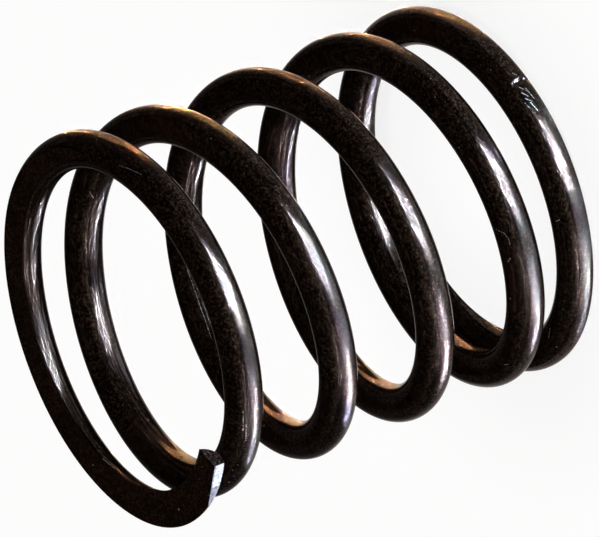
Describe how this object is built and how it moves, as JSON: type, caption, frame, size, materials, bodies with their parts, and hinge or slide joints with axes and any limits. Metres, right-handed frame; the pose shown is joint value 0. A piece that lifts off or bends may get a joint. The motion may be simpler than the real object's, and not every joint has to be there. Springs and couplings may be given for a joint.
{
  "type": "valve spring",
  "caption": "Right-handed helical compression spring of dark round wire with closed, ground ends, which closes an engine valve.",
  "frame": {"origin": "under the middle of the spring's outline, in the plane of the lower ground end; the coil axis is 0.5 mm to the left of it and 0.5 mm behind it", "axes": "+Z along the coil axis from the lower ground end to the upper one"},
  "size_m": [0.0316, 0.0313, 0.0345],
  "materials": {
    "spring_steel": "dark brown oil-tempered wire, half gloss, ground flat at both ends"
  },
  "bodies": {
    "root": {"valve_spring": "spring_steel"}
  },
  "joints": []
}
